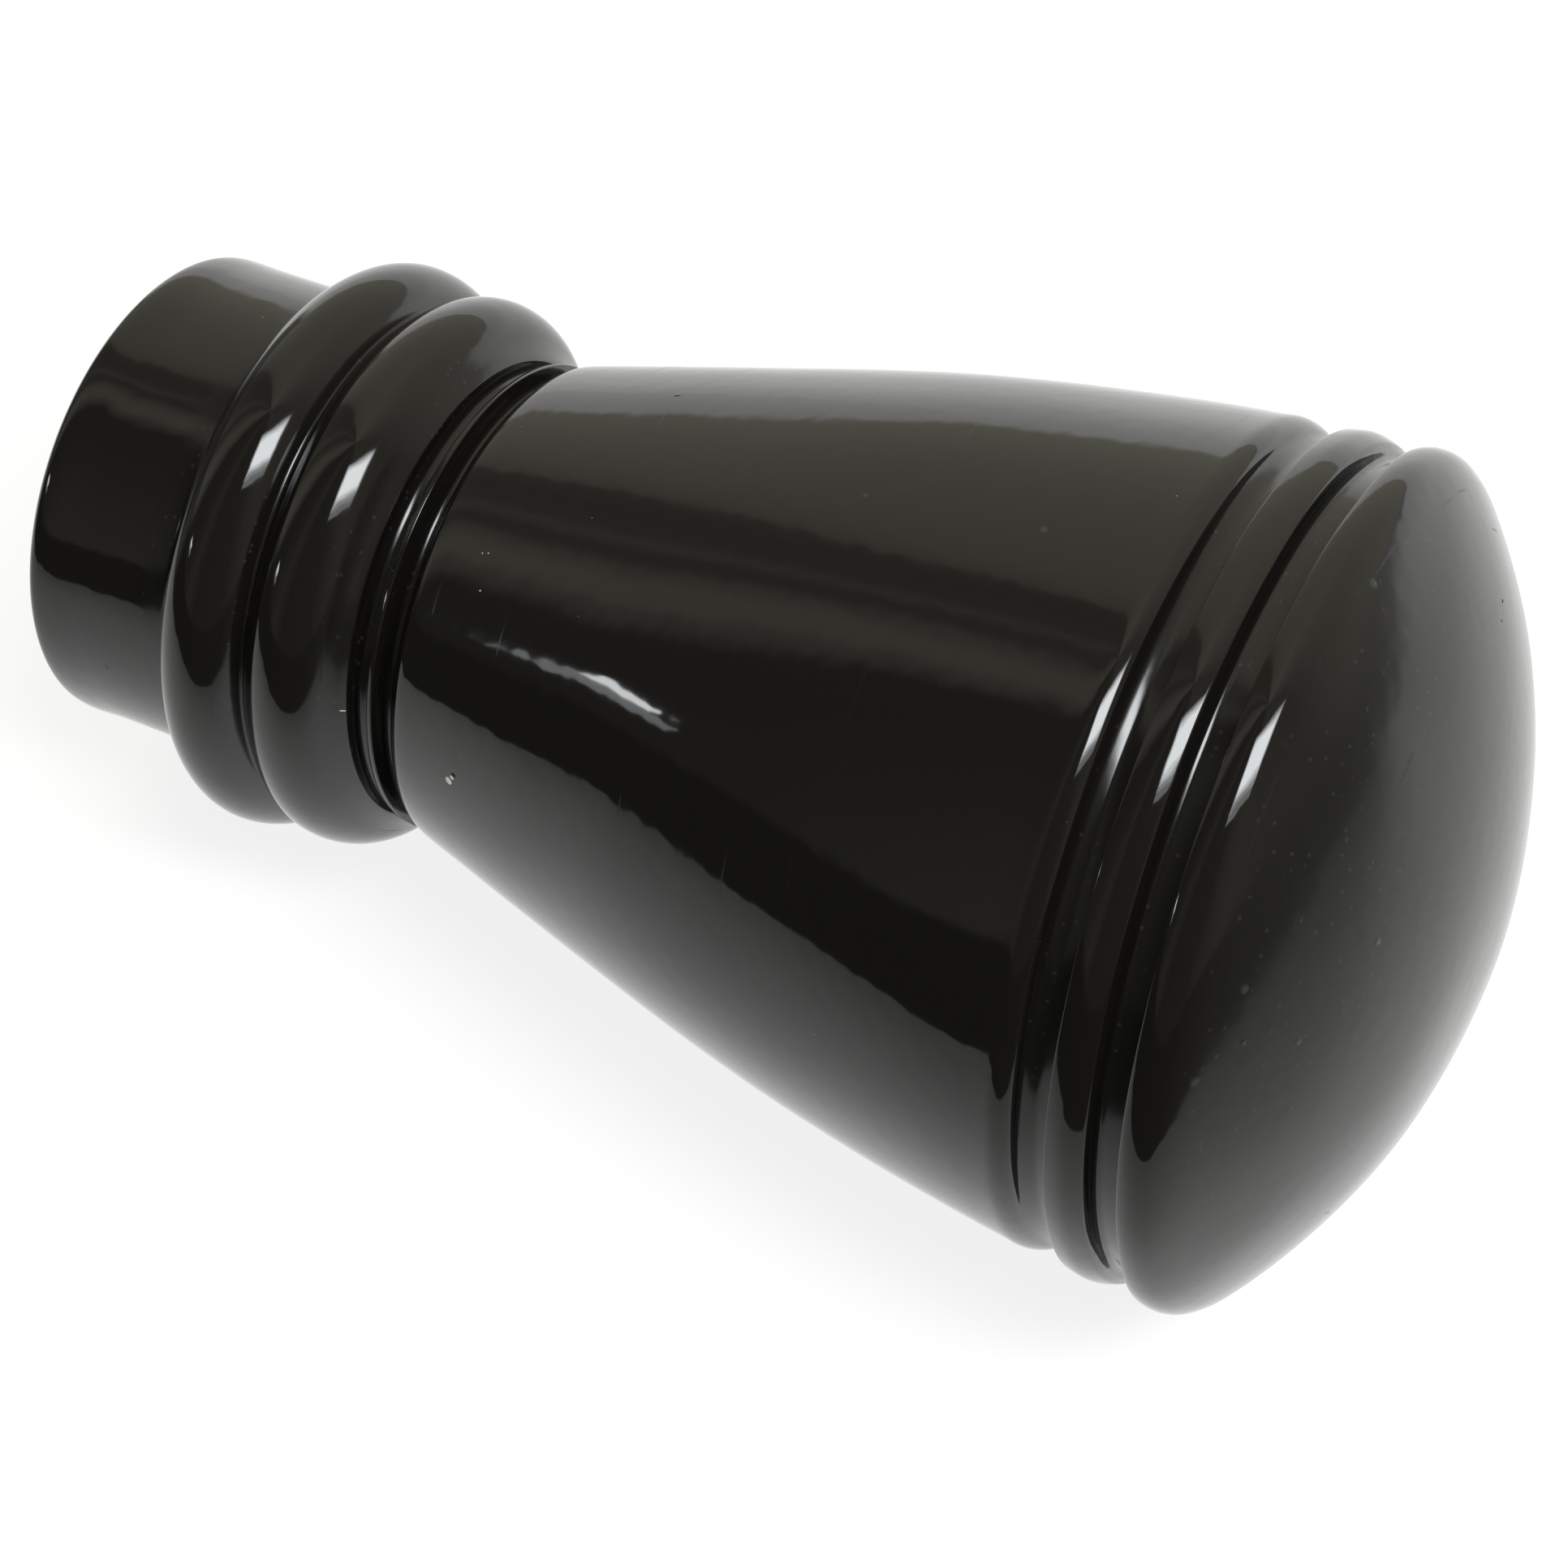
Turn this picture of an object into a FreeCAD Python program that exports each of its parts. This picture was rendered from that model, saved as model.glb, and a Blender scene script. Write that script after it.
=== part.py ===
"""Curtain pole finial: one turned and lacquered piece of hardwood that pushes on to the end of a pole.

The pole's axis is X. The origin is the centre of the socket's mouth, in the plane of the collar's
end face, and +X runs away from the pole, out through the domed end. Z is up. Lengths are in mm.
"""
import FreeCAD, Part
import Sketcher
import math
import os
from collections import namedtuple

doc = FreeCAD.newDocument("CurtainPoleFinial")

# Driving dimensions, in the order they come along the finial from the pole to the domed end.
SIZES = [
    ("pole_diameter", "28", "pole that the finial pushes on to"),
    ("socket_clearance", "0.25", "radial gap between pole and socket"),
    ("socket_depth", "22", "blind socket, from the end face to its floor"),
    ("mouth_chamfer", "0.5", "lead-in at the socket's mouth"),
    ("collar_wall", "3.25", "timber left round the socket"),
    ("collar_length", "12.2", "plain cylinder, end face to first bead"),
    ("collar_round", "0.8", "rounded outer edge of the end face"),
    ("bead_radius", "3.65", "half-round section of both beads, standing on the collar"),
    ("bead_pitch", "6.8", "crest of one bead to crest of the next"),
    ("neck_depth", "1.3", "floor of the two coves behind the beads, below the collar"),
    ("neck_length", "3.85", "second bead to the body's shoulder"),
    ("ridge_offset", "2.15", "second bead to the middle of the ridge"),
    ("ridge_width", "0.8", "thin ridge between the coves"),
    ("ridge_height", "1.05", "ridge above the floor of the coves"),
    ("shoulder_height", "1.22", "shoulder above the floor of the coves, before rounding"),
    ("shoulder_round", "1", "rounded edge of the shoulder"),
    ("flare_length", "15.85", "straight flare behind the shoulder"),
    ("flare_rise", "4.63", "gain in radius along the straight flare"),
    ("body_length", "51.65", "shoulder to the first groove"),
    ("body_radius", "28.8", "body at the first groove"),
    ("groove_one_width", "2.35", "first groove"),
    ("groove_one_depth", "1.3", "first groove, below the body"),
    ("groove_two_width", "2.35", "second groove"),
    ("groove_two_depth", "1.85", "second groove, below the ring"),
    ("groove_sweep", "3", "radius of the hollow sweep down into each groove"),
    ("ring_width", "2.6", "ring between the grooves"),
    ("ring_rise", "0.33", "edges of the ring above the body"),
    ("ring_crown", "0.15", "ring higher in the middle than at its edges"),
    ("dome_lip", "0.8", "thin leading edge of the dome to its widest place"),
    ("dome_rise", "0.53", "widest place of the finial, above the body"),
    ("dome_edge", "2.5", "rounded edge of the dome"),
    ("dome_sphere", "43.8", "sphere that closes the end"),
]

sheet = doc.addObject("Spreadsheet::Sheet", "Sizes")
for row, (alias, value, note) in enumerate(SIZES, start=1):
    sheet.set("A%d" % row, alias)
    sheet.set("B%d" % row, value)
    sheet.set("C%d" % row, note)
    sheet.setAlias("B%d" % row, alias)
doc.recompute()


class Size:
    """A length that carries both its value and the sheet expression that gives it."""

    def __init__(self, value, text):
        self.value = float(value)
        self.text = text

    def __add__(self, other):
        return Size(self.value + other.value, "%s + %s" % (self.text, other.text))

    def __sub__(self, other):
        return Size(self.value - other.value, "%s - (%s)" % (self.text, other.text))

    def half(self):
        return Size(self.value / 2, "(%s) / 2" % self.text)

    def over(self, other):
        return Size(self.value / other.value, "(%s) / (%s)" % (self.text, other.text))

    def side(self, other):
        """Third side of a right-angled triangle, from its longest side and the other one."""
        return Size(math.sqrt(self.value ** 2 - other.value ** 2),
                    "sqrt((%s)^2 - (%s)^2)" % (self.text, other.text))


def size(alias):
    return Size(sheet.get(alias), "Sizes." + alias)


# Stations along the axis and radii that several features share.
AXIS = Size(0, "0 mm")
END_FACE = Size(0, "0 mm")
socket_radius = size("pole_diameter").half() + size("socket_clearance")
collar_radius = socket_radius + size("collar_wall")
bead_one_x = size("collar_length") + size("bead_radius")
bead_two_x = bead_one_x + size("bead_pitch")
bead_end_x = bead_two_x + size("bead_radius")
ridge_x = bead_end_x + size("ridge_offset")
shoulder_x = bead_end_x + size("neck_length")
flare_end_x = shoulder_x + size("flare_length")
body_end_x = shoulder_x + size("body_length")
ring_start_x = body_end_x + size("groove_one_width")
ring_end_x = ring_start_x + size("ring_width")
dome_start_x = ring_end_x + size("groove_two_width")
dome_crest_x = dome_start_x + size("dome_lip")
neck_radius = collar_radius - size("neck_depth")
ridge_radius = neck_radius + size("ridge_height")
shoulder_radius = neck_radius + size("shoulder_height")
flare_radius = shoulder_radius + size("flare_rise")
ring_radius = size("body_radius") + size("ring_rise")
dome_radius = size("body_radius") + size("dome_rise")
groove_one_radius = size("body_radius") - size("groove_one_depth")
groove_two_radius = ring_radius - size("groove_two_depth")

body = doc.addObject("PartDesign::Body", "finial")
body.Label = "finial"


def new_sketch(name, role):
    """Sketch on the origin plane of the body that has this role."""
    sketch = body.newObject("Sketcher::SketchObject", name)
    for feature in body.Origin.OriginFeatures:
        if feature.Role == role:
            sketch.AttachmentSupport = [(feature, "")]
    sketch.MapMode = "FlatFace"
    return sketch


def hold(sketch, constraint, length):
    """Add a constraint with a length and tie that length to the sheet."""
    index = sketch.addConstraint(constraint)
    sketch.setExpression("Constraints[%d]" % index, length.text)


def place(sketch, geometry, point, corner):
    """Hold a point to its corner's station along the axis and to its radius."""
    if corner.station is END_FACE:
        sketch.addConstraint(Sketcher.Constraint("PointOnObject", geometry, point, -2))
    else:
        hold(sketch, Sketcher.Constraint("DistanceX", -1, 1, geometry, point, corner.station.value),
             corner.station)
    if corner.radius is AXIS:
        sketch.addConstraint(Sketcher.Constraint("PointOnObject", geometry, point, -1))
    else:
        hold(sketch, Sketcher.Constraint("DistanceY", -1, 1, geometry, point, corner.radius.value),
             corner.radius)


# A corner of the outline, the radius that rounds it off, and the run from it to the next corner,
# which is straight where it is None. A curve that is not hollow bulges out of the timber. One that
# gives its centre_height is held by that, because its radius follows from its two ends.
Corner = namedtuple("Corner", "station radius rounding run", defaults=(None, None))
Curve = namedtuple("Curve", "radius hollow centre_height", defaults=(False, None))


def arc_between(start, end, curve):
    """Arc from start to end, drawn the other way round where it bulges."""
    span = end - start
    rise = math.sqrt(max(curve.radius.value ** 2 - (span.Length / 2) ** 2, 0))
    left = FreeCAD.Vector(-span.y, span.x, 0) * (rise / span.Length)
    centre = (start + end) / 2 + (left if curve.hollow else -left)
    first, last = (start, end) if curve.hollow else (end, start)
    circle = Part.Circle(centre, FreeCAD.Vector(0, 0, 1), curve.radius.value)
    return Part.ArcOfCircle(circle, math.atan2(first.y - centre.y, first.x - centre.x),
                            math.atan2(last.y - centre.y, last.x - centre.x))


def beside(run, end):
    """Point on a run, a tenth of its length away from its first (1) or second (2) end."""
    share = 0.1 if end == 1 else 0.9
    return run.value(run.FirstParameter + share * (run.LastParameter - run.FirstParameter))


def draw_outline(sketch, corners):
    """Closed outline through the corners, rounded where they say so and fully held to the sheet.

    Run number i leaves corner i. A rounded corner stays in the sketch as a construction point.
    """
    count = len(corners)
    points = [FreeCAD.Vector(corner.station.value, corner.radius.value, 0) for corner in corners]
    first = []
    last = []
    for i, corner in enumerate(corners):
        start = points[i]
        end = points[(i + 1) % count]
        bulges = corner.run is not None and not corner.run.hollow
        run = arc_between(start, end, corner.run) if corner.run else Part.LineSegment(start, end)
        sketch.addGeometry(run, False)
        first.append(2 if bulges else 1)
        last.append(1 if bulges else 2)
    roundings = {}
    for i, corner in enumerate(corners):
        if corner.rounding:
            before = (i - 1) % count
            sketch.fillet(before, i, beside(sketch.Geometry[before], last[before]),
                          beside(sketch.Geometry[i], first[i]), corner.rounding.value, True, False)
            roundings[i] = sketch.GeometryCount - 1
    for i, corner in enumerate(corners):
        before = (i - 1) % count
        if corner.rounding:
            mark = sketch.addGeometry(Part.Point(points[i]), True)
            sketch.addConstraint(Sketcher.Constraint("PointOnObject", mark, 1, before))
            sketch.addConstraint(Sketcher.Constraint("PointOnObject", mark, 1, i))
            place(sketch, mark, 1, corner)
            hold(sketch, Sketcher.Constraint("Radius", roundings[i], corner.rounding.value),
                 corner.rounding)
        else:
            sketch.addConstraint(Sketcher.Constraint("Coincident", before, last[before], i, first[i]))
            place(sketch, i, first[i], corner)
    for i, corner in enumerate(corners):
        if corner.run and corner.run.centre_height:
            height = corner.run.centre_height
            hold(sketch, Sketcher.Constraint("DistanceY", -1, 1, i, 3, height.value), height)
        elif corner.run:
            hold(sketch, Sketcher.Constraint("Radius", i, corner.run.radius.value), corner.run.radius)
    doc.recompute()
    if sketch.DoF:
        raise ValueError("%s can still move in %d ways" % (sketch.Name, sketch.DoF))


# Collar: a plain cylinder round the socket, with the edge of its end face rounded over.
collar = [
    Corner(END_FACE, AXIS),
    Corner(END_FACE, collar_radius, size("collar_round")),
]

# Two half-round beads stand on the collar. They meet in one seam, or stand apart on the collar
# where their pitch is wider. The second one drops straight to the neck.
bead = Curve(size("bead_radius"), centre_height=collar_radius)
half_pitch = size("bead_pitch").half()
if half_pitch.value < size("bead_radius").value:
    seam = [Corner(bead_one_x + half_pitch, collar_radius + size("bead_radius").side(half_pitch),
                   None, bead)]
else:
    seam = [Corner(bead_one_x + size("bead_radius"), collar_radius),
            Corner(bead_two_x - size("bead_radius"), collar_radius, None, bead)]
beads = [
    Corner(size("collar_length"), collar_radius, None, bead),
    *seam,
    Corner(bead_end_x, collar_radius),
]

# Neck: two square coves parted by a thin flat-topped ridge.
half_ridge = size("ridge_width").half()
neck = [
    Corner(bead_end_x, neck_radius),
    Corner(ridge_x - half_ridge, neck_radius),
    Corner(ridge_x - half_ridge, ridge_radius),
    Corner(ridge_x + half_ridge, ridge_radius),
    Corner(ridge_x + half_ridge, neck_radius),
    Corner(shoulder_x, neck_radius),
]

# Body: from a rounded shoulder it flares straight and then runs in one long arc, tangent to the
# flare, up to the first groove. The arc bulges, or is hollow where the body is wider than the
# flare leads to.
swell_x = body_end_x - flare_end_x
swell_r = size("body_radius") - flare_radius
swell_turn = (math.atan2(size("flare_rise").value, size("flare_length").value)
              - math.atan2(swell_r.value, swell_x.value))
swell_radius = Size(
    abs(math.hypot(swell_x.value, swell_r.value) / (2 * math.sin(swell_turn))),
    "abs(hypot(%s; %s) / (2 * sin(atan(Sizes.flare_rise / Sizes.flare_length) - atan((%s) / (%s)))))"
    % (swell_x.text, swell_r.text, swell_r.text, swell_x.text))
flared_body = [
    Corner(shoulder_x, shoulder_radius, size("shoulder_round")),
    Corner(flare_end_x, flare_radius, None, Curve(swell_radius, hollow=swell_turn < 0)),
]

# Two grooves with a crowned ring between them. Each falls from the edge before it in one hollow
# sweep and ends at a square step, up to the ring or to the dome.
half_ring = size("ring_width").half()
crown_radius = Size(
    (half_ring.value ** 2 + size("ring_crown").value ** 2) / (2 * size("ring_crown").value),
    "((%s)^2 + Sizes.ring_crown^2) / (2 * Sizes.ring_crown)" % half_ring.text)
groove_sweep = Curve(size("groove_sweep"), hollow=True)
grooves = [
    Corner(body_end_x, size("body_radius"), None, groove_sweep),
    Corner(ring_start_x, groove_one_radius),
    Corner(ring_start_x, ring_radius, None, Curve(crown_radius)),
    Corner(ring_end_x, ring_radius, None, groove_sweep),
    Corner(dome_start_x, groove_two_radius),
]

# Dome: a sphere centred on the axis closes the end. Its rounded edge is an arc inside the sphere,
# tangent to it, whose crest is the widest place of the finial.
edge_centre_r = dome_radius - size("dome_edge")
sphere_x = dome_crest_x - (size("dome_sphere") - size("dome_edge")).side(edge_centre_r)
dome_start_r = edge_centre_r + size("dome_edge").side(size("dome_lip"))
edge_share = size("dome_edge").over(size("dome_sphere") - size("dome_edge"))
tangent_x = Size(
    dome_crest_x.value + (dome_crest_x.value - sphere_x.value) * edge_share.value,
    "%s + (%s) * %s" % (dome_crest_x.text, (dome_crest_x - sphere_x).text, edge_share.text))
tangent_r = Size(
    edge_centre_r.value * (1 + edge_share.value),
    "(%s) * (1 + %s)" % (edge_centre_r.text, edge_share.text))
dome = [
    Corner(dome_start_x, dome_start_r, None, Curve(size("dome_edge"))),
    Corner(tangent_x, tangent_r, None, Curve(size("dome_sphere"))),
    Corner(sphere_x + size("dome_sphere"), AXIS),
]

profile = new_sketch("TurnedProfile", "XZ_Plane")
draw_outline(profile, collar + beads + neck + flared_body + grooves + dome)
turned = body.newObject("PartDesign::Revolution", "TurnedForm")
turned.Profile = profile
turned.ReferenceAxis = (profile, ["H_Axis"])
turned.Angle = 360
profile.Visibility = False
doc.recompute()

# Blind socket for the pole, bored from the end face, with a lead-in at its mouth.
mouth = new_sketch("SocketOutline", "YZ_Plane")
mouth.addGeometry(Part.Circle(FreeCAD.Vector(0, 0, 0), FreeCAD.Vector(0, 0, 1), socket_radius.value))
mouth.addConstraint(Sketcher.Constraint("Coincident", 0, 3, -1, 1))
hold(mouth, Sketcher.Constraint("Radius", 0, socket_radius.value), socket_radius)
turned_volume = body.Shape.Volume
socket = body.newObject("PartDesign::Pocket", "PoleSocket")
socket.Profile = mouth
socket.setExpression("Length", "Sizes.socket_depth")
socket.Reversed = True
mouth.Visibility = False
doc.recompute()
bored = turned_volume - body.Shape.Volume
if abs(bored - math.pi * socket_radius.value ** 2 * size("socket_depth").value) > 0.5:
    raise ValueError("the socket removes %.1f cubic mm" % bored)
# The lead-in breaks the one edge of the socket that lies in the plane of the end face.
mouth_edges = []
for number, edge in enumerate(socket.Shape.Edges, start=1):
    if not edge.Degenerated and edge.BoundBox.XMax < 0.001:
        if abs(edge.BoundBox.ZMax - socket_radius.value) < 0.001:
            mouth_edges.append("Edge%d" % number)
if len(mouth_edges) != 1:
    raise ValueError("the socket has %d edges at its mouth" % len(mouth_edges))
lead_in = body.newObject("PartDesign::Chamfer", "SocketLeadIn")
lead_in.Base = (socket, mouth_edges)
lead_in.setExpression("Size", "Sizes.mouth_chamfer")
doc.recompute()

body.Placement = FreeCAD.Placement(FreeCAD.Vector(0, 0, 0), FreeCAD.Rotation(0, 0, 0))
doc.recompute()

for item in doc.Objects:
    if "Invalid" in item.State or "Error" in item.State:
        raise ValueError("%s is not sound: %s" % (item.Name, item.State))
if body.Shape.isNull() or not body.Shape.isValid() or len(body.Shape.Solids) != 1:
    raise ValueError("%s is not one sound solid" % body.Label)

box = body.Shape.optimalBoundingBox(False, False)
print("%s: %.2f long, %.2f across, %.0f cubic mm"
      % (body.Label, box.XLength, box.ZLength, body.Shape.Volume))
os.makedirs("parts", exist_ok=True)
body.Shape.exportStep("parts/%s.step" % body.Label)
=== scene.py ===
import math

import bpy
import numpy as np
from mathutils import Matrix, Vector


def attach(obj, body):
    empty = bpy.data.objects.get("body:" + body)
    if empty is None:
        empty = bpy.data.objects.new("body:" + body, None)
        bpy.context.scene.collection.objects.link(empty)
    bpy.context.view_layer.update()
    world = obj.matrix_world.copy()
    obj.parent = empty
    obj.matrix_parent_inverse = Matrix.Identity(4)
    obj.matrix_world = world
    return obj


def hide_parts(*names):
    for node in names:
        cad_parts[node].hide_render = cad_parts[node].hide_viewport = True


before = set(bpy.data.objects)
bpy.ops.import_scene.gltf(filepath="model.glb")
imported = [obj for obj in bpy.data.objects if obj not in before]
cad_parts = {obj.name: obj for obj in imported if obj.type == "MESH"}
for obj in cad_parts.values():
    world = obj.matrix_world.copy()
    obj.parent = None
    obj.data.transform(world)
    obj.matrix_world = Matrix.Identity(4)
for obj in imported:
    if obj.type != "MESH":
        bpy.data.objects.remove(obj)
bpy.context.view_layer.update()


# THE TURNED FINIAL
# One piece of close-grained hardwood, turned between centres and bored with a blind socket for
# the pole. It was sprayed with thick black lacquer, which rounds every cut and fills the corners.

MM = 0.001
AROUND = 240

# Each cut of the lathe ends at a station along the axis and a radius, in millimetres. Then come
# how softly the lacquer rounds that corner, and the radius of a bowed cut: 0 is straight, and a
# minus sign is hollow. The first four rows and the last have the CAD's sizes. Most numbers in the
# 25 rows between them were found by a fitting program, which moved them until the reflections on
# lines across the beads, neck and grooves came near the photograph's.
CUTS = (
    (22.0, 14.25, 0.10, 0),
    (0.5, 14.25, 0.12, 0),
    (0.0, 14.75, 0.12, 0),
    (0.0, 17.5, 0.75, 0),
    (12.274, 17.484, 0.35, 0),
    (19.36, 18.75, 0.22, 3.65),
    (25.916, 18.187, 0.32, 3.73),
    (26.907, 16.981, 0.14, 0),
    (28.278, 15.954, 0.15, -0.86),
    (28.331, 17.267, 0.05, 0),
    (28.901, 17.377, 0.16, 0),
    (29.09, 16.272, 0.16, 0),
    (30.283, 15.923, 0.08, -0.78),
    (30.283, 17.7, 0.63, 0),
    (46.0, 22.05, 0.98, 0),
    (79.87, 28.644, 0.30, 186.4),
    (81.821, 28.198, 0.20, 1.88),
    (81.995, 27.862, 0.12, 0.9),
    (82.972, 27.203, 0.17, -2.55),
    (84.15, 27.334, 0.13, 0),
    (84.15, 28.934, 0.17, 0),
    (85.29, 29.125, 0.20, 0),
    (86.572, 28.827, 0.12, 2.83),
    (86.941, 28.551, 0.10, 0.5),
    (87.169, 28.111, 0.12, 0),
    (87.743, 27.567, 0.15, -0.43),
    (89.1, 27.404, 0.21, 0),
    (89.1, 29.131, 0.10, 0),
    (91.994, 28.564, 0.90, 2.5),
    (102.3, 0.0, 0.60, 43.8),
)

POINTS_A_CUT = 160
SMOOTHING_STEP = 0.06
PAST_THE_ENDS = 3.0
ROW_LENGTH = 1.1
ROW_TURN = 8.6


def one_cut(start, end, bow):
    """Points from start to end in even steps. A straight cut is start + t * (end - start); a bowed
    one is centre + |bow| * (cos a, sin a), with a running evenly between the two ends' angles."""
    start, end = np.array(start), np.array(end)
    chord = end - start
    t = np.linspace(0, 1, POINTS_A_CUT)
    if not bow:
        return start + t[:, None] * chord
    length = np.hypot(*chord)
    inward = np.array([chord[1], -chord[0]]) / length * np.sign(bow)
    centre = (start + end) / 2 + inward * math.sqrt(bow * bow - length * length / 4)
    first, last = (math.atan2(*(p - centre)[::-1]) for p in (start, end))
    turn = (last - first + math.pi) % (2 * math.pi) - math.pi
    angle = first + t * turn
    return centre + abs(bow) * np.column_stack((np.cos(angle), np.sin(angle)))


def lacquered_outline():
    """Station and radius from the middle of the socket floor round to the tip. Each point of the
    cut outline becomes the mean of its neighbours along it, weighted exp(-d^2 / 2 w^2), with w the
    softness there. Rows are then spaced by length in millimetres and by the outline's turn in
    degrees. Both ends of the outline are on the axis, where it goes on as its own mirror image."""
    corners = [(22.0, 0.0)] + [c[:2] for c in CUTS]
    runs = [one_cut(a, b, c[3]) for a, b, c in zip(corners, corners[1:], CUTS)]
    cut = np.vstack([runs[0]] + [r[1:] for r in runs[1:]])
    s = np.append(0, np.cumsum(np.hypot(*np.diff(cut, axis=0).T)))
    ends = np.append(0, s[np.cumsum([len(runs[0]) - 1] + [len(r) - 1 for r in runs[1:]])])
    soft = np.array([CUTS[0][2]] + [c[2] for c in CUTS])
    even = np.arange(-PAST_THE_ENDS, s[-1] + PAST_THE_ENDS, SMOOTHING_STEP)
    folded = s[-1] - np.abs(s[-1] - np.abs(even))
    across = np.where((even < 0) | (even > s[-1]), -1.0, 1.0)
    points = np.column_stack(
        (np.interp(folded, s, cut[:, 0]), np.interp(folded, s, cut[:, 1]) * across)
    )
    keep = even[(even > 0) & (even < s[-1])]
    width = np.interp(keep, ends, soft)[:, None]
    weight = np.exp(-((keep[:, None] - even[None, :]) ** 2) / (2 * width**2))
    rounded = (weight @ points) / weight.sum(axis=1)[:, None]
    step = np.diff(rounded, axis=0)
    length = np.hypot(*step.T)
    heading = np.unwrap(np.arctan2(step[:, 1], step[:, 0]))
    turning = np.append(np.abs(np.diff(heading)), 0)
    cost = np.append(0, np.cumsum(length / ROW_LENGTH + np.degrees(turning) / ROW_TURN))
    rows = np.linspace(0, cost[-1], int(cost[-1]) + 1)
    outline = np.column_stack([np.interp(rows, cost, rounded[:, k]) for k in (0, 1)]) * MM
    outline[[0, -1], 1] = 0.0
    return outline


WAVES = 26
WAVE_LENGTHS = (6.0, 18.0)
WAVE_HEIGHT = 0.00045


def film_waves(points, seed=329):
    """Depth at each point of the slow waves that thick lacquer dries into, never above the turned
    surface: the sum of a_k cos(w_k . point + p_k) over a fixed set of waves, with a_k a small
    share of each wave's length. The seed was picked by a program that tried 1499 of them, for how
    its waves bend the low strip's reflection."""
    luck = np.random.default_rng(seed)
    depth = np.zeros(len(points))
    for _ in range(WAVES):
        long = luck.uniform(*WAVE_LENGTHS) * MM
        heading = luck.normal(size=3)
        heading *= 2 * math.pi / long / np.linalg.norm(heading)
        depth += long * WAVE_HEIGHT * np.cos(points @ heading + luck.uniform(0, 2 * math.pi))
    return depth - np.abs(depth).max()


# Lengths along the outline from the middle of the socket's floor: where the bare timber ends, and
# where the film's waves begin and reach their full depth. Then how far to each side a hollow looks
# for the surface beside it, and the depths below that at which it begins and fully counts.
BARE_LENGTH = 0.0353
WAVES_BEGIN, WAVES_FULL = 0.0405, 0.0425
HOLLOW_REACH = 0.0022
HOLLOW_BEGINS, HOLLOW_FULL = 0.0006, 0.0015


def turned_mesh(name, outline):
    """A surface of revolution about the X axis: (x, r cos a, r sin a) for each row of the outline
    and AROUND even angles a. The outline's two ends lie on the axis, and each is one point."""
    station, radius = outline[:, 0], outline[:, 1]
    rings = len(station) - 2
    slope = np.gradient(outline, axis=0)
    slope /= np.hypot(*slope.T)[:, None]
    along = np.append(0, np.cumsum(np.hypot(*np.diff(outline, axis=0).T)))
    angle = np.linspace(0, 2 * math.pi, AROUND, endpoint=False)
    cosine, sine = np.cos(angle), np.sin(angle)
    ring = np.stack(
        (station[:, None] + 0 * angle, radius[:, None] * cosine, radius[:, None] * sine), -1
    )
    out = np.stack((-slope[:, 1:] + 0 * angle, slope[:, :1] * cosine, slope[:, :1] * sine), -1)
    outside = np.clip((along - WAVES_BEGIN) / (WAVES_FULL - WAVES_BEGIN), 0, 1)
    sink = film_waves(ring.reshape(-1, 3)).reshape(-1, AROUND) * outside[:, None]
    ring += sink[:, :, None] * out
    points = np.vstack((ring[1:-1].reshape(-1, 3), ring[0].mean(axis=0), ring[-1].mean(axis=0)))
    i, j = np.meshgrid(np.arange(rings - 1), np.arange(AROUND), indexing="ij")
    k = (j + 1) % AROUND
    row, next_row = i * AROUND, (i + 1) * AROUND
    quads = np.stack((row + j, row + k, next_row + k, next_row + j), -1).reshape(-1, 4)
    edge = np.arange(AROUND)
    beyond = (edge + 1) % AROUND
    floor_fan = np.stack((edge * 0 + rings * AROUND, beyond, edge), -1)
    top = (rings - 1) * AROUND
    tip_fan = np.stack((top + edge, top + beyond, edge * 0 + rings * AROUND + 1), -1)
    mesh = bpy.data.meshes.new(name)
    mesh.from_pydata(points.tolist(), [], quads.tolist() + floor_fan.tolist() + tip_fan.tolist())
    mesh.polygons.foreach_set("use_smooth", np.ones(len(mesh.polygons), bool))
    bare = along[2:-1] < BARE_LENGTH
    part = np.concatenate((np.repeat(bare, AROUND), np.ones(AROUND, bool), np.zeros(AROUND, bool)))
    mesh.polygons.foreach_set("material_index", part.astype(int))
    nearby = np.abs(station[:, None] - station[None, :]) < HOLLOW_REACH
    highest = np.where(nearby, radius[None, :], 0).max(axis=1)
    below = highest - radius
    hollow = np.clip((below - HOLLOW_BEGINS) / (HOLLOW_FULL - HOLLOW_BEGINS), 0, 1) * outside
    depth = mesh.attributes.new("hollow", "FLOAT", "POINT")
    depth.data.foreach_set("value", np.concatenate((np.repeat(hollow[1:-1], AROUND), (0.0, 0.0))))
    mesh.update()
    return mesh


def node(tree, kind, inputs=None, **settings):
    """One shader node of that kind. Inputs are given by name or number, each a value or the output
    that feeds it."""
    new = tree.nodes.new("ShaderNode" + kind)
    for name, value in settings.items():
        setattr(new, name, value)
    for socket, value in (inputs or {}).items():
        if isinstance(value, bpy.types.NodeSocket):
            tree.links.new(value, new.inputs[socket])
        else:
            new.inputs[socket].default_value = value
    return new


def ramp_to(tree, value, start, end, low, high, smooth=False):
    """The value carried from start..end to low..high and held there beyond both ends."""
    inputs = {"Value": value, "From Min": start, "From Max": end, "To Min": low, "To Max": high}
    kind = "SMOOTHSTEP" if smooth else "LINEAR"
    return node(tree, "MapRange", inputs, interpolation_type=kind).outputs["Result"]


def stretch(tree, vector, scale):
    """The vector with each of its parts multiplied by its own scale."""
    return node(tree, "Mapping", {"Vector": vector, "Scale": scale}).outputs["Vector"]


def combine(tree, first, second, operation):
    """What a Math node makes of two numbers."""
    return node(tree, "Math", {0: first, 1: second}, operation=operation).outputs[0]


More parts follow.
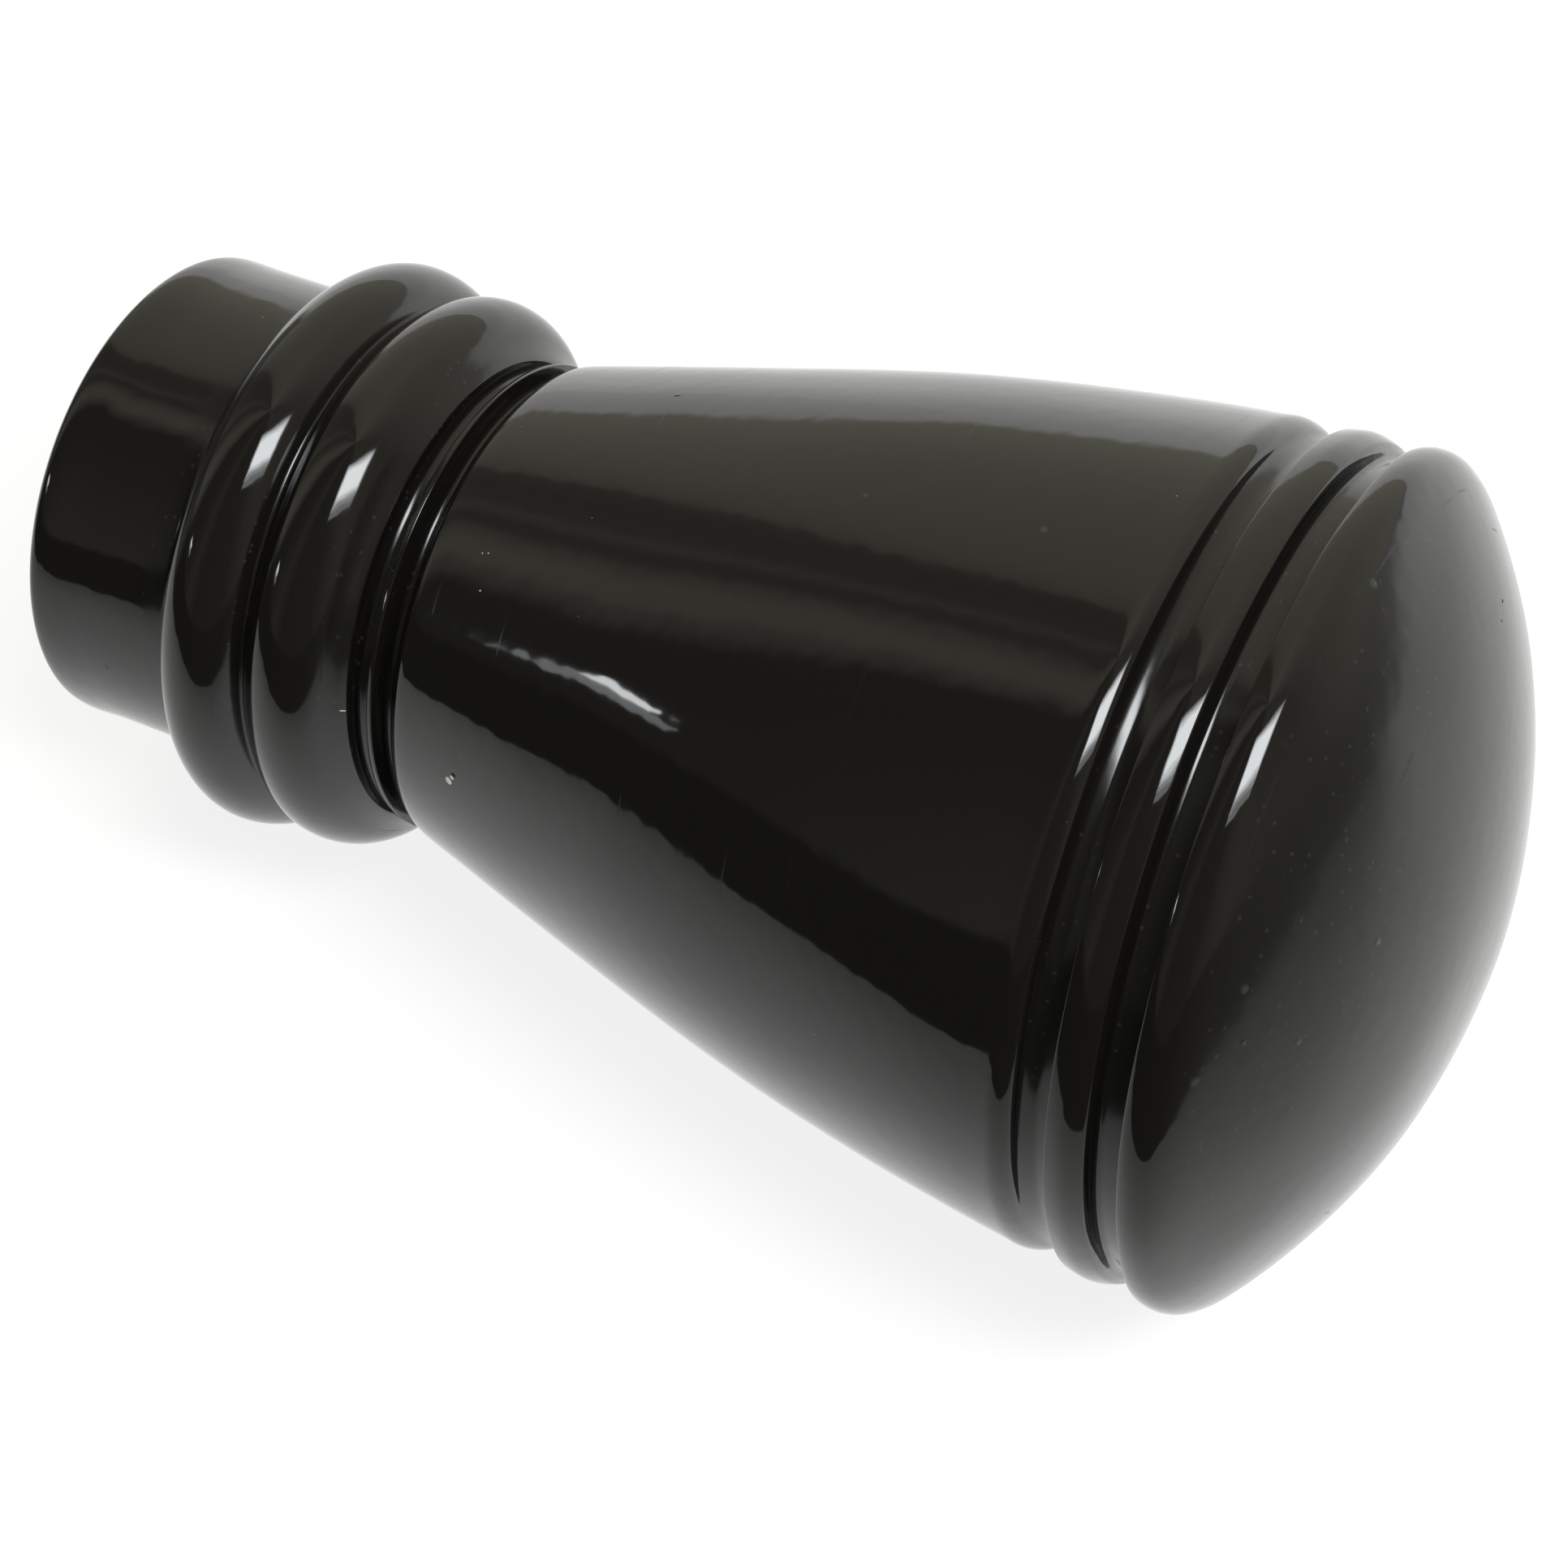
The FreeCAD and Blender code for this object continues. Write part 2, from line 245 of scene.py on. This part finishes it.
def blend(tree, mask, first, second):
    """The first colour, turned to the second where the mask is 1."""
    return node(tree, "Mix", {0: mask, 6: first, 7: second}, data_type="RGBA").outputs[2]


def group_of(name, inputs, outputs):
    """An empty node group with number or vector inputs and number outputs."""
    group = bpy.data.node_groups.new(name, "ShaderNodeTree")
    for label, kind in inputs:
        group.interface.new_socket(label, in_out="INPUT", socket_type="NodeSocket" + kind)
    for label in outputs:
        group.interface.new_socket(label, in_out="OUTPUT", socket_type="NodeSocketFloat")
    given = group.nodes.new("NodeGroupInput").outputs
    put = group.nodes.new("NodeGroupOutput").inputs
    return group, given, put


# Specks scattered through the solid: round spots of one size, in some share of even cells.
specks, given, put = group_of(
    "specks",
    (("Vector", "Vector"), ("Cells", "Float"), ("Share", "Float"), ("Size", "Float")),
    ("Mask",),
)
cells = node(specks, "TexVoronoi", {"Vector": given["Vector"], "Scale": given["Cells"]})
chosen = node(specks, "SeparateColor", {"Color": cells.outputs["Color"]})
kept = combine(specks, chosen.outputs["Red"], given["Share"], "LESS_THAN")
spot = ramp_to(specks, cells.outputs["Distance"], 0.0, given["Size"], 1.0, 0.0, smooth=True)
specks.links.new(combine(specks, kept, spot, "MULTIPLY"), put["Mask"])

# Cloudy difference from place to place, between a low and a high value.
clouds, given, put = group_of(
    "clouds",
    (("Vector", "Vector"), ("Fineness", "Float"), ("Low", "Float"), ("High", "Float")),
    ("Value",),
)
mist = node(
    clouds, "TexNoise", {"Vector": given["Vector"], "Scale": given["Fineness"], "Detail": 2.0}
).outputs["Fac"]
clouds.links.new(ramp_to(clouds, mist, 0.3, 0.7, given["Low"], given["High"]), put["Value"])


def place_group(tree, group, vector, **values):
    """The one output of a group placed in a material with its own values."""
    new = tree.nodes.new("ShaderNodeGroup")
    new.node_tree = group
    tree.links.new(vector, new.inputs["Vector"])
    for name, value in values.items():
        new.inputs[name].default_value = value
    return new.outputs[0]


def new_material(name):
    """An empty node material, its tree, its Principled shader and its Object coordinates."""
    material = bpy.data.materials.new(name)
    material.use_nodes = True
    tree = material.node_tree
    place = node(tree, "TexCoord").outputs["Object"]
    return material, tree, tree.nodes["Principled BSDF"].inputs, place


# Marks in the lacquer, each a place, a turn about Y and Z, and half lengths, in millimetres. A
# program worked the places out from the marks' pixels in the photograph.
NIBS = (
    ((92.44, 2.10, 27.60), 0, 0, (0.5, 0.5, 0.5)),
    ((92.50, -24.95, 11.80), 0, 0, (0.5, 0.5, 0.5)),
    ((93.73, -20.52, 16.00), 0, 0, (0.45, 0.45, 0.45)),
    ((94.30, -21.82, 12.66), 0, 0, (0.3, 0.3, 0.3)),
    ((96.62, -18.93, 10.32), 0, 0, (0.3, 0.3, 0.3)),
    ((98.74, -11.79, 12.63), 0, 0, (0.35, 0.35, 0.35)),
    ((72.67, -1.69, 27.71), 0, 0, (0.4, 0.4, 0.4)),
    ((60.28, -1.70, 25.56), 0, 0, (0.3, 0.3, 0.3)),
)
CHIPS = (
    ((36.31, -18.74, 4.33), 0.33, -0.37, (0.34, 0.3, 0.3)),
    ((36.62, -18.72, 4.80), 0, 0, (0.2, 0.3, 0.16)),
    ((22.38, -1.67, 20.36), -0.02, -0.07, (0.26, 0.06, 0.05)),
    ((28.02, -10.25, 12.99), -0.72, -0.48, (0.9, 0.4, 0.05)),
    ((26.64, -16.68, 4.55), 0.47, 0.86, (0.32, 0.2, 0.05)),
    ((32.60, 0.78, 18.13), 0, 0, (0.09, 0.09, 0.09)),
    ((45.93, 1.96, 21.94), 0, 0, (0.08, 0.08, 0.08)),
    ((35.62, -9.06, 16.73), 0, 0, (0.16, 0.06, 0.06)),
    ((35.11, -9.09, 16.55), 0, 0, (0.08, 0.08, 0.08)),
    ((36.05, -11.26, 15.49), 0, 0, (0.08, 0.08, 0.08)),
)
PITS = (
    ((41.90, 6.09, 19.95), -0.20, 0.30, (0.34, 0.12, 0.12)),
    ((6.45, -17.49, 0.50), 0.93, -0.04, (0.34, 0.2, 0.08)),
    ((36.78, -18.69, 5.10), 0.19, -0.34, (0.26, 0.3, 0.2)),
    ((96.86, 14.01, 15.84), 0, 0, (0.2, 0.2, 0.2)),
    ((97.39, 12.41, 15.87), 0, 0, (0.16, 0.16, 0.16)),
)


def marks_at(tree, place, marks, edge):
    """A mask that is 1 in the middle of every mark and fades to 0 between edge and its outline."""
    found = 0.0
    for at, turn_y, turn_z, half in marks:
        inner = node(tree, "Mapping", {
            "Vector": place, "Location": Vector(at) * MM, "Rotation": (0, turn_y, turn_z),
            "Scale": Vector(half) * MM,
        }, vector_type="TEXTURE")
        away = node(tree, "VectorMath", {0: inner.outputs["Vector"]}, operation="LENGTH")
        here = ramp_to(tree, away.outputs["Value"], edge, 1.0, 1.0, 0.0, smooth=True)
        found = combine(tree, found, here, "MAXIMUM")
    return found


# Black lacquer: sprayed thick and left to flow, so it has a faint orange peel, dust nibs, a few
# chips and pits, hairline scratches round the body, and a duller film down in the grooves.
lacquer, tree, shader, place = new_material("black_lacquer")
nibs = marks_at(tree, place, NIBS, 0.1)
chips = marks_at(tree, place, CHIPS, 0.75)
pits = marks_at(tree, place, PITS, 0.6)
dust = place_group(tree, specks, place, Cells=430.0, Share=0.14, Size=0.040)
hollow = node(tree, "Attribute", attribute_name="hollow").outputs["Fac"]
settled = place_group(tree, specks, place, Cells=1500.0, Share=0.35, Size=0.3)
in_hollow = combine(tree, settled, hollow, "MULTIPLY")
stretched = stretch(tree, place, (2600.0, 110.0, 110.0))
fine_lines = node(
    tree, "TexNoise", {"Vector": stretched, "Scale": 1.0, "Detail": 1.0}
).outputs["Fac"]
scratches = ramp_to(tree, fine_lines, 0.735, 0.765, 0.0, 1.0)
colour = blend(tree, nibs, (0.0068, 0.0062, 0.0057, 1), (0.030, 0.031, 0.028, 1))
colour = blend(tree, dust, colour, (0.11, 0.11, 0.10, 1))
colour = blend(tree, in_hollow, colour, (0.030, 0.029, 0.026, 1))
colour = blend(tree, chips, colour, (0.78, 0.76, 0.70, 1))
colour = blend(tree, pits, colour, (0.0025, 0.0025, 0.0025, 1))
tree.links.new(colour, shader["Base Color"])
gloss = place_group(tree, clouds, place, Fineness=60.0, Low=0.045, High=0.062)
rough = combine(tree, gloss, ramp_to(tree, hollow, 0.0, 1.0, 0.0, 0.10), "ADD")
rough = combine(tree, rough, ramp_to(tree, scratches, 0.0, 1.0, 0.0, 0.16), "ADD")
rough = combine(tree, rough, ramp_to(tree, pits, 0.0, 1.0, 0.0, 0.8), "ADD")
tree.links.new(rough, shader["Roughness"])
shader["IOR"].default_value = 1.5
peel = node(tree, "TexNoise", {"Vector": place, "Scale": 760.0, "Detail": 0.0}).outputs["Fac"]
raised = combine(tree, nibs, dust, "MAXIMUM")
raised = node(tree, "Math", {0: raised, 1: 2.2, 2: peel}, operation="MULTIPLY_ADD").outputs[0]
bump = node(tree, "Bump", {"Height": raised, "Strength": 1.0, "Distance": 0.000010})
tree.links.new(bump.outputs["Normal"], shader["Normal"])

# Bare hardwood in the bore: long grain on its wall and end grain on its floor, with fine tool
# rings, and a mist of the lacquer blown in at the mouth.
timber, tree, shader, place = new_material("bare_hardwood")
drawn = stretch(tree, place, (90.0, 1300.0, 1300.0))
fibres = node(tree, "TexNoise", {"Vector": drawn, "Scale": 1.0, "Detail": 4.0}).outputs["Fac"]
heart = (0.0, 0.021, -0.034)
centred = node(tree, "Mapping", {"Vector": place, "Location": heart}).outputs["Vector"]
years = node(tree, "TexWave", {
    "Vector": centred, "Scale": 150.0, "Distortion": 1.6, "Detail": 2.0, "Detail Scale": 0.6,
}, wave_type="RINGS", rings_direction="X").outputs["Fac"]
pores = place_group(tree, specks, drawn, Cells=0.9, Share=0.35, Size=0.4)
late_wood = ramp_to(tree, years, 0.2, 1.0, 0.0, 1.0)
colour = blend(tree, late_wood, (0.56, 0.37, 0.21, 1), (0.44, 0.27, 0.14, 1))
colour = blend(tree, ramp_to(tree, fibres, 0.45, 0.75, 0.0, 0.8), colour, (0.36, 0.21, 0.11, 1))
colour = blend(tree, pores, colour, (0.20, 0.11, 0.06, 1))
depth = node(tree, "SeparateXYZ", {"Vector": place}).outputs["X"]
patchy = place_group(tree, clouds, place, Fineness=420.0, Low=-0.002, High=0.002)
reach = combine(tree, depth, patchy, "ADD")
misted = ramp_to(tree, reach, 0.001, 0.0075, 1.0, 0.0, smooth=True)
colour = blend(tree, misted, colour, (0.010, 0.009, 0.008, 1))
tree.links.new(colour, shader["Base Color"])
rough = place_group(tree, clouds, place, Fineness=300.0, Low=0.55, High=0.72)
rough = combine(tree, rough, ramp_to(tree, misted, 0.0, 1.0, 0.0, 0.30), "SUBTRACT")
tree.links.new(rough, shader["Roughness"])
tool = node(tree, "TexWave", {
    "Vector": place, "Scale": 620.0, "Distortion": 0.4,
}, wave_type="RINGS", rings_direction="X").outputs["Fac"]
grained = node(tree, "Math", {0: tool, 1: 0.35, 2: fibres}, operation="MULTIPLY_ADD").outputs[0]
bump = node(tree, "Bump", {"Height": grained, "Strength": 1.0, "Distance": 0.00006})
tree.links.new(bump.outputs["Normal"], shader["Normal"])

finial = bpy.data.objects.new("turned_finial", turned_mesh("turned_finial", lacquered_outline()))
bpy.context.scene.collection.objects.link(finial)
finial.data.materials.append(lacquer)
finial.data.materials.append(timber)
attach(finial, "root")
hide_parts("finial")


# THE WHITE SHEET
# A large sheet of matt white paper that the finial lies on, resting on its collar and its thick
# end, so the sheet slopes a little to the finial's axis.

SHEET_UP = Vector((0.1097, 0.0, 0.9940))
BELOW_AXIS = 0.01932
SHEET_CORNER = Vector((-0.085, -0.140, 0))
SHEET_TURN = math.radians(15)
SHEET_SIZE = (1.25, 1.0)
STRIPS_ALONG, STRIPS_BACK = 60, 80
FLAT_TO, CURL = 0.55, 0.72

along = Vector((math.cos(SHEET_TURN), math.sin(SHEET_TURN), 0))
back = Vector((-math.sin(SHEET_TURN), math.cos(SHEET_TURN), 0))
u, v = np.meshgrid(
    np.linspace(0, SHEET_SIZE[0], STRIPS_ALONG), np.linspace(0, SHEET_SIZE[1], STRIPS_BACK),
    indexing="ij",
)
sheet_x = SHEET_CORNER.x + along.x * u + back.x * v
sheet_y = SHEET_CORNER.y + along.y * u + back.y * v
sheet_z = (-BELOW_AXIS - SHEET_UP.x * sheet_x) / SHEET_UP.z
sheet_z += CURL * np.clip(v - FLAT_TO, 0, None) ** 2
i, j = np.meshgrid(np.arange(STRIPS_ALONG - 1), np.arange(STRIPS_BACK - 1), indexing="ij")
corner = i * STRIPS_BACK + j
beside = corner + STRIPS_BACK
sheet_mesh = bpy.data.meshes.new("white_sheet")
sheet_mesh.from_pydata(
    np.stack((sheet_x, sheet_y, sheet_z), -1).reshape(-1, 3).tolist(),
    [],
    np.stack((corner, beside, beside + 1, corner + 1), -1).reshape(-1, 4).tolist(),
)
sheet = bpy.data.objects.new("white_sheet", sheet_mesh)
bpy.context.scene.collection.objects.link(sheet)
paper = bpy.data.materials.new("white_paper")
paper.use_nodes = True
tree = paper.node_tree
tree.nodes.clear()
place = node(tree, "TexCoord").outputs["Object"]
toward_front, toward_left = (
    node(tree, "VectorMath", {0: place, 1: heading}, operation="DOT_PRODUCT").outputs["Value"]
    for heading in ((0.514, -0.857, 0), (-0.6, -0.8, 0))
)
# Painted light across the sheet: the glow that the finial's reflections see there, brighter toward
# the back and falling off toward the front right. A least-squares fit to the sheet's reflections
# in the photograph, then lowered by 0.19 throughout.
SHEET_LIGHT = (
    (0.000, 1.17), (0.312, 0.94), (0.500, 0.89), (0.641, 0.96),
    (0.734, 0.76), (0.812, 0.51), (0.891, 0.37), (1.000, 0.28),
)


def light_along(tree, way, stops, tint=(1.0, 1.0, 1.0)):
    """A colour ramp that gives the light found at each position on the way."""
    ramp = node(tree, "ValToRGB", {"Fac": way})
    while len(ramp.color_ramp.elements) < len(stops):
        ramp.color_ramp.elements.new(0.5)
    for element, (position, light) in zip(ramp.color_ramp.elements, stops):
        element.position = position
        element.color = (tint[0] * light, tint[1] * light, tint[2] * light, 1)
    return ramp.outputs["Color"]


SHEET_REACH = 0.16
way = ramp_to(tree, toward_front, -SHEET_REACH, SHEET_REACH, 0.0, 1.0)
falling = light_along(tree, way, SHEET_LIGHT)
# Painted shade: the glow is darkened toward the sheet's near left corner.
painted_corner_shade = ramp_to(tree, toward_left, 0.0, SHEET_REACH, 1.0, 0.42)
painted_sheet_glow = combine(tree, falling, painted_corner_shade, "MULTIPLY")
ray = node(tree, "LightPath").outputs
# Painted light: to the camera the sheet glows an even white, and in the finial's reflections it
# glows with the painted light and shade above.
strength = node(
    tree, "Mix", {"Factor": ray["Is Camera Ray"], "A": painted_sheet_glow, "B": 0.85}
).outputs["Result"]
glow = node(tree, "Emission", {"Strength": strength})
matt = node(tree, "BsdfDiffuse", {"Color": (0.9, 0.9, 0.89, 1)}).outputs[0]
black = node(tree, "Emission", {"Strength": 0.0}).outputs[0]
shaded = node(tree, "MixShader", {0: 0.25, 1: black, 2: matt}).outputs[0]
lit = node(tree, "AddShader", {0: shaded, 1: glow.outputs[0]}).outputs[0]
watched = combine(tree, ray["Is Camera Ray"], ray["Is Glossy Ray"], "MAXIMUM")
seen = node(tree, "MixShader", {0: watched, 1: matt, 2: lit}).outputs[0]
node(tree, "OutputMaterial", {"Surface": seen})
sheet.data.materials.append(paper)


# THE ROOM AND ITS LAMPS
# A pale wall behind and to the left, a dim room in front, a soft box high on the right and a
# narrow strip low on the left, each with a dim edge. To the camera the room is plain white.

world = bpy.data.worlds.new("room")
bpy.context.scene.world = world
world.use_nodes = True
tree = world.node_tree
tree.nodes.clear()
WALL_TINT = (1.0, 0.97, 0.79)
TABLE_TINT = (1.0, 0.99, 0.95)

# Light at each position round the room, on the walls and then at table height. Both lists were
# typed in from what a program measured: how bright the lacquer is in the photograph, by the
# direction that it reflects.
WALL_LIGHT = (
    (0.000, 0.24), (0.008, 0.41), (0.019, 0.56), (0.026, 0.61), (0.036, 0.57), (0.042, 0.42),
    (0.048, 0.36), (0.054, 0.22), (0.059, 0.11), (0.090, 0.11), (0.130, 0.15), (0.165, 0.25),
    (0.220, 0.12), (0.375, 0.14), (0.460, 0.34), (0.540, 0.28), (0.575, 0.45), (0.620, 0.58),
    (0.750, 0.74), (0.900, 0.67), (0.917, 0.63), (0.931, 0.56), (0.937, 0.49), (0.942, 0.25),
    (0.958, 0.21), (0.966, 0.23), (0.975, 0.24), (0.981, 0.34), (0.986, 0.34), (0.991, 0.22),
    (1.000, 0.24),
)
TABLE_LIGHT = (
    (0.000, 0.11), (0.030, 0.27), (0.060, 0.06), (0.375, 0.07), (0.460, 0.15), (0.550, 0.26),
    (0.620, 0.46), (0.790, 0.68), (0.810, 1.28), (0.885, 1.22), (0.895, 0.30), (0.930, 0.25),
    (0.944, 0.11), (1.000, 0.11),
)

direction = node(tree, "TexCoord").outputs["Generated"]
to_level = (0, -math.asin(SHEET_UP.x), 0)
level = node(tree, "Mapping", {"Vector": direction, "Rotation": to_level}).outputs["Vector"]
around = node(tree, "TexGradient", {"Vector": level}, gradient_type="RADIAL").outputs["Fac"]
walls = light_along(tree, around, WALL_LIGHT, WALL_TINT)
table = light_along(tree, around, TABLE_LIGHT, TABLE_TINT)
height = node(tree, "SeparateXYZ", {"Vector": level}).outputs["Z"]
above = ramp_to(tree, height, 0.085, 0.135, 0.0, 1.0, smooth=True)
both = blend(tree, above, table, walls)
room = node(tree, "Background", {"Color": both, "Strength": 1.0}).outputs[0]
white = node(tree, "Background", {"Color": (1, 1, 1, 1), "Strength": 1.0}).outputs[0]
ray = node(tree, "LightPath").outputs
seen = node(tree, "MixShader", {0: ray["Is Camera Ray"], 1: room, 2: white}).outputs[0]
node(tree, "OutputWorld", {"Surface": seen})


MIDDLE = Vector((0.05, 0, 0))
LAMP_COLOUR = (0.95, 0.98, 1.0)


def soft_box(name, place, long_side, size, radiance):
    """A rectangular lamp at that place, facing the middle of the finial, its long side along the
    direction given."""
    lamp = bpy.data.lights.new(name, "AREA")
    lamp.shape = "RECTANGLE"
    lamp.size, lamp.size_y = size
    lamp.energy = radiance * math.pi * size[0] * size[1]
    lamp.color = LAMP_COLOUR
    holder = bpy.data.objects.new(name, lamp)
    bpy.context.scene.collection.objects.link(holder)
    away = (Vector(place) - MIDDLE).normalized()
    long = Vector(long_side)
    long = (long - away * long.dot(away)).normalized()
    turn = Matrix((long, away.cross(long), away)).transposed().to_4x4()
    holder.matrix_world = Matrix.Translation(place) @ turn


# The soft box is brightest in its middle: four sheets of light, each smaller and a little nearer.
# The lamps' places and sizes were worked out from where their reflections lie in the photograph.
HIGH_PLACE = Vector((0.569, -0.149, 0.762))
HIGH_LONG = (0.787, 0.471, -0.399)
LOW_LONG = (0.558, -0.830, 0.007)
for inset, radiance in ((0.0, 3.0), (0.04, 4.5), (0.08, 5.0), (0.13, 5.0)):
    nearer = HIGH_PLACE * (1 - 0.1 * inset)
    soft_box("high_soft_box", nearer, HIGH_LONG, (0.61 - inset, 0.30 - inset), radiance)
soft_box("high_dim_edge", (0.626, -0.297, 0.700), HIGH_LONG, (0.58, 0.06), 2.6)
soft_box("low_strip", (-0.660, -0.4815, 0.316), LOW_LONG, (0.073, 0.030), 13.0)
soft_box("low_dim_strip", (-0.664, -0.496, 0.286), LOW_LONG, (0.1135, 0.035), 2.4)


# THE CAMERA
# It looks down on the finial from its front right, with the frame shifted as in the photograph.
# A program found these numbers by fitting the finial's outline to the photograph's.

view = bpy.data.cameras.new("camera")
view.sensor_width = 36
view.lens = 88.99
view.shift_x, view.shift_y = 0.0721, -0.2327
camera = bpy.data.objects.new("camera", view)
bpy.context.scene.collection.objects.link(camera)
camera.matrix_world = Matrix((
    (0.87377, -0.28076, 0.39712, 0.14515),
    (0.47666, 0.65647, -0.58468, -0.14704),
    (-0.09654, 0.70017, 0.70744, 0.20269),
    (0, 0, 0, 1),
))
bpy.context.scene.camera = camera
bpy.context.scene.view_settings.view_transform = "Standard"
